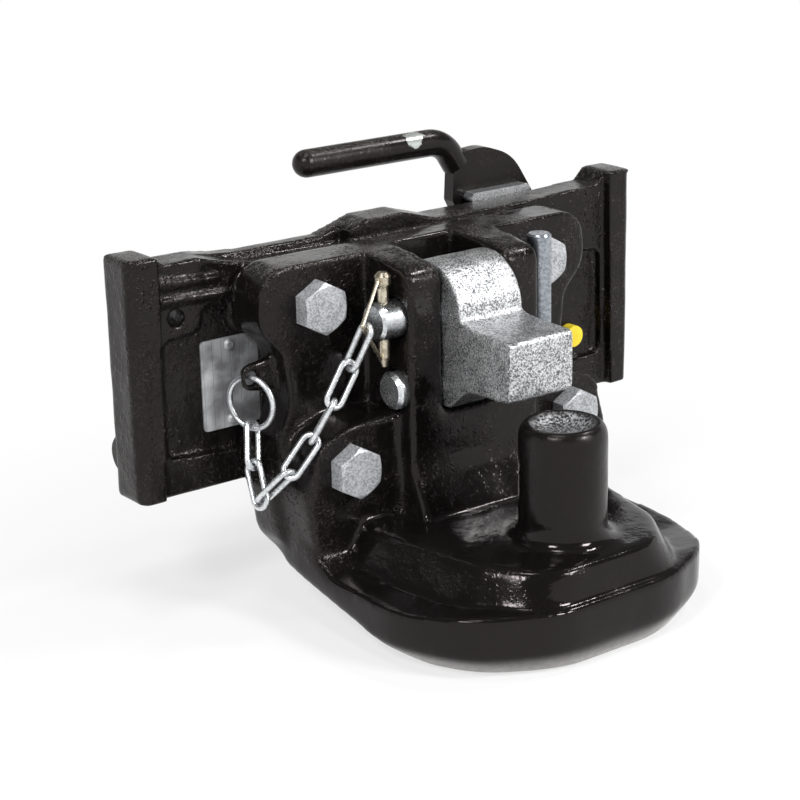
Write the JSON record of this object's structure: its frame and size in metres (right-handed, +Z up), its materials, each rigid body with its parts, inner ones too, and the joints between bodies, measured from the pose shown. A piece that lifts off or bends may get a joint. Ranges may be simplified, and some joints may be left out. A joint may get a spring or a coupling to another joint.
{
  "type": "piton drawbar coupling",
  "caption": "Piton drawbar coupling on a slide plate: an upright post under a swinging keeper held by a pull-out lock pin, with a release handle for the side locking pins.",
  "frame": {"origin": "on the post's axis, where its straight wall starts above the base fillet", "axes": "+Z up along the post, +Y level towards the vehicle, +X to the right seen from the drawbar"},
  "size_m": [0.33, 0.228, 0.2255],
  "materials": {
    "black_paint": "gloss black paint on rough casting",
    "cast_zinc": "rough casting, zinc plated",
    "bright_zinc": "bright zinc plating",
    "screw_zinc": "matt zinc flake",
    "plain_steel": "oiled plain steel",
    "yellow_zinc": "yellow passivated zinc",
    "bare_aluminium": "rolled, bare",
    "yellow_cap": "moulded"
  },
  "bodies": {
    "hook": {"slide_plate": "black_paint", "hook_body": "black_paint", "pivot_pin": "bright_zinc", "linch_pin": "yellow_zinc", "linch_bow": "yellow_zinc", "split_ring": "bright_zinc", "upper_screws": "screw_zinc", "lower_screws": "screw_zinc", "type_plate": "bare_aluminium", "type_plate_rivets": "bare_aluminium", "lever_spacer": "plain_steel", "lever_bolt": "plain_steel", "guide_bar": "bright_zinc", "rocker_bolt": "plain_steel", "grease_nipple": "plain_steel", "nipple_cap": "yellow_cap", "chain_link_1": "bright_zinc", "chain_link_2": "bright_zinc", "chain_link_3": "bright_zinc", "chain_link_4": "bright_zinc", "chain_link_5": "bright_zinc", "chain_link_6": "bright_zinc", "chain_link_7": "bright_zinc"},
    "keeper": {"keeper": "cast_zinc"},
    "lock_pin": {"lock_pin": "bright_zinc", "lock_pin_bar": "bright_zinc"},
    "handle": {"handle_bar": "black_paint", "lever_plate": "black_paint", "lever_stud": "plain_steel"},
    "tie_rod": {"connecting_rod": "plain_steel"},
    "rocker": {"rocker": "plain_steel", "rocker_pegs": "plain_steel", "rocker_stud": "plain_steel"},
    "left_pin": {"left_locking_pin": "bright_zinc"},
    "right_pin": {"right_locking_pin": "bright_zinc"}
  },
  "joints": [
    {"name": "keeper_swing", "type": "hinge", "parent": "hook", "child": "keeper", "pos_m": [0, 0.081, 0.0955], "axis": [-1, 0, 0], "range_deg": [0, 85]},
    {"name": "lock_pin_pull", "type": "slide", "parent": "hook", "child": "lock_pin", "axis": [1, 0, 0], "range_m": [0, 0.1]},
    {"name": "handle_lift", "type": "hinge", "parent": "hook", "child": "handle", "pos_m": [0.088, 0.167, 0.113], "axis": [0, 1, 0], "range_deg": [0, 55]},
    {"name": "rocker_turn", "type": "hinge", "parent": "hook", "child": "rocker", "pos_m": [0, 0.167, 0.024], "axis": [0, 1, 0], "range_deg": [0, 55]},
    {"name": "rod_swing", "type": "hinge", "parent": "handle", "child": "tie_rod", "pos_m": [0.11475, 0.159, 0.10473], "axis": [0, 1, 0], "range_deg": [-55, 0]},
    {"name": "left_pin_draw", "type": "slide", "parent": "hook", "child": "left_pin", "axis": [1, 0, 0], "range_m": [0, 0.0148]},
    {"name": "right_pin_draw", "type": "slide", "parent": "hook", "child": "right_pin", "axis": [-1, 0, 0], "range_m": [0, 0.0148]}
  ],
  "couplings": [
    {"joint": "rocker_turn", "follows": "handle_lift", "ratio": 1},
    {"joint": "rod_swing", "follows": "handle_lift", "ratio": -1},
    {"joint": "left_pin_draw", "follows": "handle_lift", "m_per_rad": 0.015393},
    {"joint": "right_pin_draw", "follows": "handle_lift", "m_per_rad": 0.015393}
  ]
}
